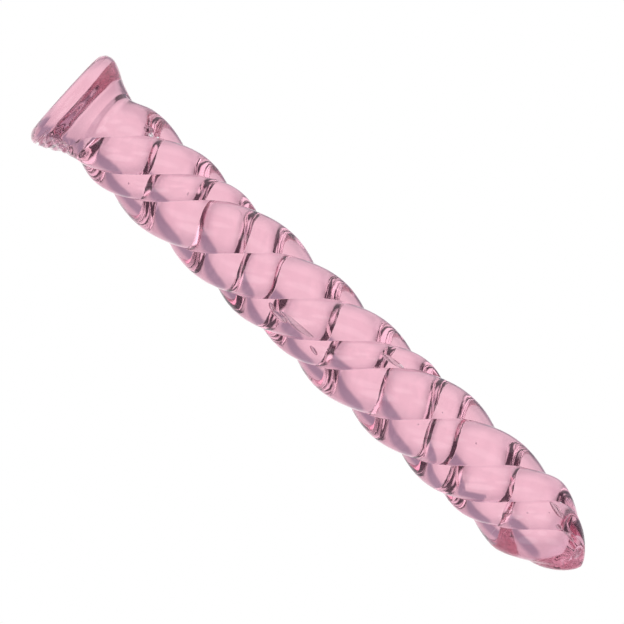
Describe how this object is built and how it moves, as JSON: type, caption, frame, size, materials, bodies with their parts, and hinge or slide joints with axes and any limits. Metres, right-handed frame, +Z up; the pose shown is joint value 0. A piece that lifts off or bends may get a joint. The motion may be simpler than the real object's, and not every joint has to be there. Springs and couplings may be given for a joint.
{
  "type": "twisted glass wand",
  "caption": "Solid rose-pink glass wand: rods fused and twisted to the left into one shaft, with a flared foot at one end and a blunt rounded nose at the other.",
  "frame": {"origin": "on the surface the wand lies on, below the middle of its box", "axes": "+X along the wand from the foot to the nose, +Z up from the surface it lies on, +Y to the wand's left as seen from the foot"},
  "size_m": [0.1802, 0.0304, 0.0292],
  "materials": {
    "rose_glass": "clear, flame-polished, with seeds, small bubbles and folds inside"
  },
  "bodies": {
    "root": {"foot": "rose_glass", "strand_broad": "rose_glass", "strand_medium": "rose_glass", "strand_slim": "rose_glass", "strand_widest": "rose_glass", "nose": "rose_glass"}
  },
  "joints": []
}
